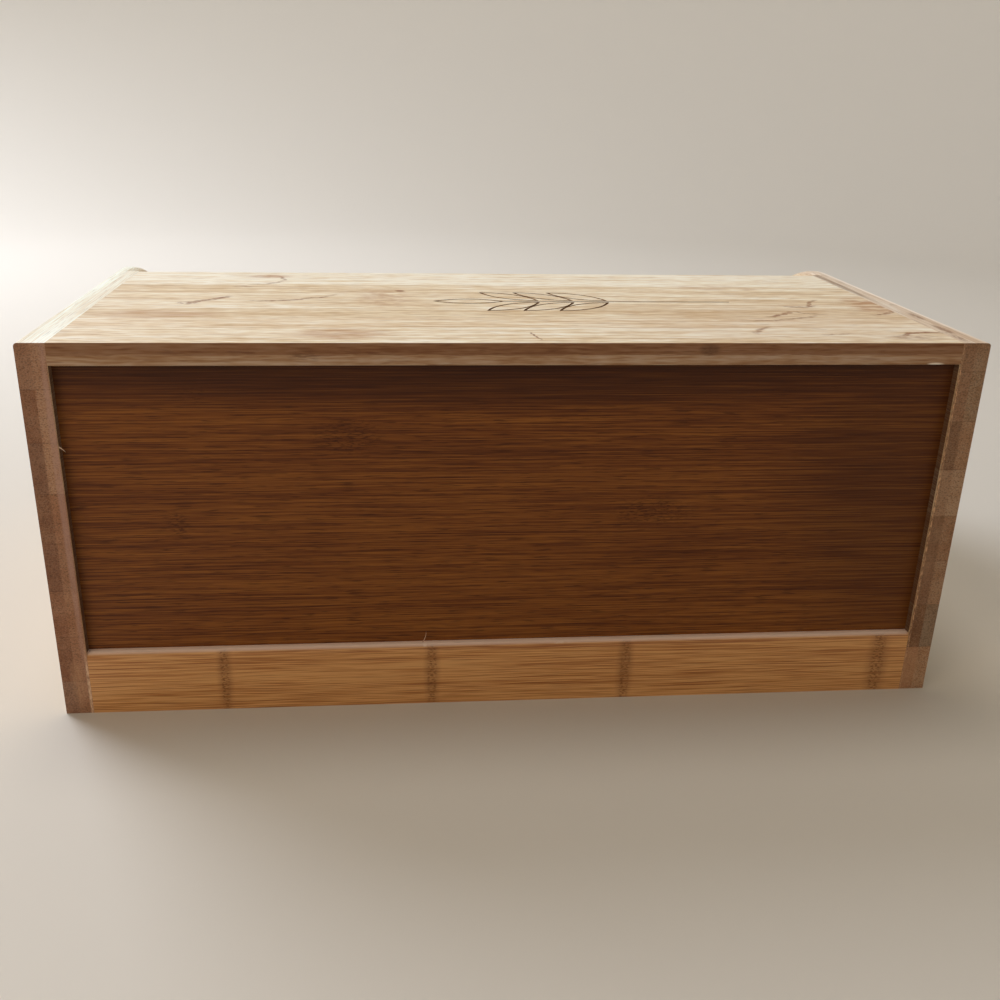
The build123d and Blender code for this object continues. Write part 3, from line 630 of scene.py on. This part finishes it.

# Sides: the same bamboo in two plies, with the grain running front to back. From behind, the eye gets
# their sawn ends, dull brown blocks full of dots, brown partly by painted shade, and a pale torn edge beside
# the back panel.
sideLook = {
    "axes": "yzx", "strip": 22.2, "ply": 6.0, "paintedEdgeLightFade": (-96.0, -36.0), "farEndHex": "#e6d3b6",
    "gloss": 0.35, "coat": 0.04,
    "inner": 188.0, "easeWidth": 0.5,
    "roundFrom": -24.3, "roundTo": 62.0, "roundRadius": 8.5, "roundSteps": 8,
}
recessWallShade = {"hex": "#481a04", "share": 0.95}  # painted shade: the wall of the recess beside the back panel is darkened to a near-black brown
edgeMarksAndLightLeft = [  # along the side's top: a painted highlight on the outer arris, painted shade in the inner rounding beside the top panel, and three short brown marks
    {"at": (30, -198.4), "half": (150, 2.0), "grit": (9, 0.8), "gritAt": (0.2, 0.45), "soft": 0.5,
     "shade": 0.9, "hex": "#fbeedd"},
    {"at": (0, -190.5), "half": (75, 2.8), "grit": (14, 1.2), "gritAt": (0.3, 0.6), "soft": 0.4,
     "shade": 0.75, "hex": "#805e3c"},
    {"at": (93, -194), "half": (11, 2.0), "grit": (4, 1), "gritAt": (0.3, 0.5), "shade": 0.8,
     "hex": "#8a6040"},
    {"at": (122, -192.6), "half": (13, 2.6), "grit": (4, 1), "gritAt": (0.3, 0.5), "shade": 0.8,
     "hex": "#8a6040"},
    {"at": (139, -191), "half": (9, 2.2), "grit": (3, 1), "gritAt": (0.3, 0.55), "shade": 0.7,
     "hex": "#8a6040"},
]
endMarksRight = [  # pale torn fibre low beside the rail, a pinkish strip, a nick and a worn foot
    {"at": (10, 188.6), "half": (30, 0.9), "grit": (2.4, 0.7), "gritAt": (0.38, 0.55), "soft": 0.2,
     "shade": 0.9, "hex": "#e2bd9a"},
    {"at": (105, 189.5), "half": (110, 2.0), "grit": (7, 1.5), "gritAt": (0.25, 0.5), "soft": 0.4,
     "shade": 0.55, "hex": "#b48e80"},
    {"at": (92, 192), "half": (1.4, 2.5), "turn": 90, "line": 0.3, "shade": 0.8, "hex": "#4a2c18"},
    {"at": (16, 193), "half": (15, 4.4), "grit": (4, 0.8), "soft": 0.4, "shade": 0.35, "hex": "#c99c74"},
]
endMarksLeft = [  # a pale torn line all the way up, a worn foot and a paler patch
    {"at": (95, -188.6), "half": (150, 0.7), "grit": (2.4, 0.6), "gritAt": (0.46, 0.58), "soft": 0.1,
     "shade": 0.8, "hex": "#dcae82"},
    {"at": (12, -191), "half": (15, 6), "grit": (3.0, 0.7), "soft": 0.7, "shade": 0.5, "hex": "#b98d66"},
    {"at": (75, -191), "half": (26, 4), "grit": (3.0, 0.7), "soft": 0.4, "shade": 0.35, "hex": "#a98060"},
]
endTonesRight = (  # inner ply, outer ply, from the lowest strip up
    (1.0, 1.02, 1.06, 0.97, 1.03, 1.08, 1.05, 0.98),
    (1.02, 1.06, 1.12, 0.9, 0.96, 0.86, 0.98, 1.03),
)
endTonesLeft = (  # outer ply, inner ply
    (1.25, 0.74, 1.05, 1.05, 1.1, 1.08, 0.92, 0.95),
    (1.42, 0.9, 0.85, 0.82, 1.04, 0.84, 1.0, 0.98),
)
# Painted highlight: the top edges of both sides are tinted a pale blue-white and brightened beyond the wood's
# colour, fading out towards the front.
sideBambooRight = bamboo("satinLacqueredBambooRightSide", sideLook | {
    "stripStart": -5.9, "plyStart": 194.0, "seed": 5.0, "contrast": 1.0,
    # Painted shade: the rear ends are tinted much darker than the front ends, over the end grain's own duller
    # tone.
    "endHex": ("#b69c99", "#a58a87"), "edgeToneAndPaintedLightHex": ("#c4dbff",) * 2, "edgePaintedLightGain": 2.15,
    "endMarks": endMarksRight, "endTones": endTonesRight,
    "stainsAndShade": [recessWallShade | {"low": (187.8, 140, 30), "high": (188.2, 148.4, 159.2)}]})
sideBambooLeft = bamboo("satinLacqueredBambooLeftSide", sideLook | {
    "stripStart": 0.6, "plyStart": -194.0, "seed": 8.0, "toneStep": 0.2,
    # Painted shade: the rear ends are tinted much darker than the front ends, over the end grain's own duller
    # tone.
    "endHex": ("#ae9d9a", "#a48e88"), "edgeToneAndPaintedLightHex": ("#cfd9f6",) * 2, "edgePaintedLightGain": 1.58,
    "endMarks": endMarksLeft, "endTones": endTonesLeft, "edgeMarks": edgeMarksAndLightLeft,
    "stainsAndShade": [recessWallShade | {"low": (-188.2, 140, 30), "high": (-187.8, 148.4, 159.2)}]})
for name, material, sign in (("side_right", sideBambooRight, 1), ("side_left", sideBambooLeft, -1)):
    runOut(ease(name, material, sideLook["easeWidth"]), sign)
print("top and sides ready")

# Two fibres that a blade tore loose and left hanging by the root: pale slivers under a millimetre wide
tornFibres = {
    "torn_fibre_post": {"node": "side_right", "root": (188.3, 148.3, 125.4), "tip": (185.5, 148.6, 123.3),
                        "bend": (0.2, 0.1, 0.5), "width": 0.75},
    "torn_fibre_rail": {"node": "rear_rail", "root": (40.6, 145.6, 29.6), "tip": (38.9, 145.9, 35.4),
                        "bend": (-0.5, 0.1, 0.2), "width": 0.32},
}
tornBamboo = bamboo("tornBambooFibre", {"darkHex": "#c9a688", "midHex": "#e0c4a8", "lightHex": "#f0dcc6",
                                        "knuckleShade": 0.0, "seamShade": 0.0, "coat": 0.0})


def tornFibre(name, fibre, stations=7, thinning=0.85):  # a flat sliver that thins out to its tip
    root, tip, bend = Vector(fibre["root"]), Vector(fibre["tip"]), Vector(fibre["bend"])
    wide = (tip - root).cross(Vector((0, 1, 0))).normalized()
    flat = (tip - root).cross(wide).normalized()
    mesh = bmesh.new()
    rings = []
    for station in range(stations):
        share = station / (stations - 1)
        middle = root.lerp(tip, share) + bend * math.sin(math.pi * share)
        half = fibre["width"] / 2 * (1 - thinning * share)
        rings.append([mesh.verts.new((middle + wide * across * half + flat * through * half * 0.5) * mm)
                      for across, through in ((-1, -1), (1, -1), (1, 1), (-1, 1))])
    for lower, upper in zip(rings, rings[1:]):
        for corner in range(4):
            after = (corner + 1) % 4
            mesh.faces.new((lower[corner], lower[after], upper[after], upper[corner])).smooth = True
    mesh.faces.new(rings[0][::-1])
    mesh.faces.new(rings[-1])
    bmesh.ops.recalc_face_normals(mesh, faces=mesh.faces)
    piece = asObject(name, mesh, tornBamboo)
    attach(piece, bodyOf[fibre["node"]])


for fibreName, fibre in tornFibres.items():
    tornFibre(fibreName, fibre)

# Rear rail: one honey-coloured strip. The eye gets wavy fibres crossed by four dark knuckles, each given here
# by its place along the rail, its height and half its width.
knuckles = ((129.0, 19, 4.6), (36.3, 17, 4.8), (-53.0, 16, 5.2), (-174.6, 15, 7.2))
railLook = {
    "axes": "xzy", "strip": 40.0, "stripStart": -5.0, "ply": 13.0, "plyStart": 137.0, "seed": 2.0,
    "darkHex": "#925627", "midHex": "#b5783d", "lightHex": "#d69f62", "veinHex": "#6a3909", "blush": 0.0,
    "streak": (70.0, 0.55), "fine": (24.0, 0.42), "shares": (0.5, 0.38, 0.12), "wobble": 2.5,
    # painted highlight: the rail's rounded top is lightened to a pale pink
    "contrast": 1.35, "crestHighlightHex": "#ffe4d2", "knuckleShade": 0.0,
    "dash": (22.0, 0.36), "dashAt": 0.60, "dashShade": 0.35,
    "marks": [  # each knuckle is a dull band with fine dark dots in it
        *[{"at": (place, high), "half": (wide, 30), "grit": (8, 3), "gritAt": (0.2, 0.6), "soft": 0.4,
           "shade": 0.4}
          for place, high, wide in knuckles],
        *[{"at": (place, high), "half": (wide * 0.7, 34), "grit": (1.7, 0.6), "gritAt": (0.42, 0.58),
           "shade": 0.8}
          for place, high, wide in knuckles],
    ],
    "edgeMarks": [
        {"at": (39.5, 147), "half": (1.2, 4), "gritAt": (0.1, 0.3), "shade": 0.9, "hex": "#efe2d0"},
        {"at": (-23, 148), "half": (5, 1.5), "grit": (2, 1), "shade": 0.9, "hex": "#efe2d0"},
    ],
}
ease("rear_rail", bamboo("honeyBambooRail", railLook))

# Back panel: thin bamboo ply stained dark brown. The eye gets an even field of short dark fibre lines.
panelLook = {
    "axes": "xzy", "strip": 40.0, "stripStart": 21.5, "ply": 6.0, "plyStart": 140.0, "seed": 4.0,
    "darkHex": "#53290b", "midHex": "#723f14", "lightHex": "#8c5620", "veinHex": "#280e03", "contrast": 1.15,
    "streak": (80.0, 0.65), "fine": (26.0, 0.42), "broad": (160.0, 14.0), "wobble": 1.2,
    "dash": (11.0, 0.5), "dashAt": 0.57, "dashShade": 0.5,
    "blush": 0.0, "toneStep": 0.12, "seamShade": 0.0, "knuckleShade": 0.0, "coat": 0.0, "gloss": 0.22,
    # painted shade: the strips get darker towards the top, darkest under the top panel's overhang
    "stripTones": (0.7, 0.6, 0.45, -0.3), "shares": (0.5, 0.36, 0.14),
    "marks": [
        # a painted shadow under the top panel's overhang, then painted shade towards the panel's -X end; the
        # four dotted patches after them are knuckles
        {"at": (0, 163), "half": (420, 30), "grit": (60, 9), "gritAt": (0.1, 0.5), "soft": 0.7,
         "shade": 0.62},
        {"at": (-185, 110), "half": (90, 120), "grit": (60, 9), "gritAt": (0.1, 0.5), "soft": 0.7,
         "shade": 0.4},
        {"at": (134, 148), "half": (10, 9), "grit": (3.0, 0.6), "gritAt": (0.5, 0.6), "shade": 0.6},
        {"at": (72, 128), "half": (19, 11), "grit": (3.0, 0.6), "gritAt": (0.5, 0.6), "shade": 0.6},
        {"at": (144, 89), "half": (6, 9), "grit": (3.0, 0.6), "gritAt": (0.48, 0.58), "shade": 0.6},
        {"at": (-61, 92), "half": (24, 9), "grit": (3.0, 0.6), "gritAt": (0.5, 0.6), "shade": 0.6},
    ],
}
dress(bamboo("stainedBambooPanel", panelLook), "back_panel")
print("rail, back panel and torn fibres ready")

# Floor, runners and drawer walls: sanded, not lacquered
innerLook = {"axes": "xyz", "stripStart": 4.0, "seed": 6.0, "coat": 0.0, "roughness": (0.55, 0.68)}
innerBamboo = bamboo("sandedBambooPly", innerLook)
wallBamboo = bamboo("sandedBambooDrawerWall", innerLook | {"axes": "yzx", "strip": 24.0, "stripStart": 5.0})
backBamboo = bamboo("sandedBambooDrawerBack", innerLook | {"axes": "xzy", "strip": 24.0, "stripStart": 5.0})
for name, material in (("floor_panel", innerBamboo), ("drawer_side_left", wallBamboo),
                       ("drawer_side_right", wallBamboo), ("drawer_back", backBamboo)):
    ease(name, material, 0.4)
dress(wallBamboo, "runner_left", "runner_right")
dress(innerBamboo, "drawer_bottom_panel", "top_dowels", "rail_dowels", "drawer_dowels")
print("floor and drawer walls ready")

# Roll-top slats: each moulded from one strip, so each has its own tone and its own knuckles
slatLook = {
    "axes": "roll", "strip": 12.2, "stripStart": -5.98, "ply": 20.0, "plyStart": 100.0, "seamShade": 0.0,
    "toneStep": 0.2, "knuckleShade": 0.5, "seed": 7.0,
}
dress(bamboo("mouldedBambooSlat", slatLook), "lead_slat", *[f"slat_{index:02d}" for index in range(1, 14)])

# Drawer front: one strip, lacquered like the boards
faceLook = {"axes": "xzy", "strip": 40.0, "stripStart": -5.0, "seed": 9.0}
ease("drawer_front", bamboo("satinLacqueredBambooFront", faceLook))

# Knobs: turned from one block with the grain along its axis, and lacquered more thickly than the boards
knobLook = {
    "axes": "yxz", "strip": 60.0, "stripStart": -30.0, "ply": 60.0, "plyStart": -5.0,
    "seamShade": 0.0, "knuckleShade": 0.0, "coat": 0.3,
}
dress(bamboo("turnedBambooKnob", knobLook), "drawer_knob", "roll_top_knob")


def zinc(name):  # brushed zinc plate on steel: grey metal with fine scratches one way
    look = {
        "hex": "#b4b6b8", "metallic": 1.0, "roughness": (0.28, 0.42), "scratch": (6.0, 0.12), "depth": 0.05,
    }
    material, tree, shader = newMaterial(name)
    here = add(tree, "TexCoord", out=None).outputs["Object"]
    length, width = look["scratch"]
    stretched = add(tree, "VectorMath", (here, (1 / (length * mm), 1 / (length * mm), 1 / (width * mm))),
                    operation="MULTIPLY")
    scratch = add(tree, "TexNoise", {"Vector": stretched, "Scale": 1.0, "Detail": 2.0})
    feed(tree, shader, {
        "Base Color": linear(look["hex"]), "Metallic": look["metallic"],
        "Roughness": add(tree, "MapRange", (scratch, 0.3, 0.7, *look["roughness"])),
        "Normal": add(tree, "Bump", {"Strength": 0.3, "Distance": look["depth"] * mm, "Height": scratch})})
    return material


def canvas(name):  # plain-woven cotton, glued behind the slats: matt, with threads over and under each other
    look = {
        "threadHex": "#d8ccb0", "gapHex": "#8f8267", "roughness": 0.85, "sheen": 0.2, "depth": 0.25,
        "pitch": 1.1,  # a thread is about 0.6 mm, and is drawn coarser to show
    }
    material, tree, shader = newMaterial(name)
    here = add(tree, "TexCoord", out=None).outputs["Object"]
    inMm = add(tree, "VectorMath", (here, (1 / mm,) * 3), operation="MULTIPLY")
    part = add(tree, "SeparateXYZ", (inMm,), out=None).outputs
    around = roundRoll(tree, part, rollTop["canvasRadius"])[0]
    waves, cells = [], []
    for axis in (part[0], around):
        count = add(tree, "Math", (axis, look["pitch"]), operation="DIVIDE")
        cells.append(add(tree, "Math", (count,), operation="FLOOR"))
        turn = add(tree, "Math", (count, math.pi), operation="MULTIPLY")
        wave = add(tree, "Math", (turn,), operation="SINE")
        waves.append(add(tree, "Math", (wave,), operation="ABSOLUTE"))
    both = add(tree, "Math", cells, operation="ADD")
    half = add(tree, "Math", (both, 0.5), operation="MULTIPLY")
    over = add(tree, "Math", (half,), operation="FRACT")
    which = add(tree, "Math", (over, 0.25), operation="GREATER_THAN")
    weave = add(tree, "Mix", {0: which, 2: waves[0], 3: waves[1]}, data_type="FLOAT")
    thread = add(tree, "MapRange", (weave, 0.1, 0.7, 0, 1))
    gap, cotton = linear(look["gapHex"]), linear(look["threadHex"])
    colour = add(tree, "Mix", {0: thread, 6: gap, 7: cotton}, **colourMix)
    feed(tree, shader, {
        "Base Color": colour, "Roughness": look["roughness"], "Sheen Weight": look["sheen"],
        "Normal": add(tree, "Bump", {"Strength": 0.6, "Distance": look["depth"] * mm, "Height": weave})})
    return material


dress(zinc("brushedZincScrew"), "drawer_screw", "roll_top_screw")
dress(canvas("wovenCottonCanvas"), "canvas_backing")
print("roll-top, knobs and screws ready")
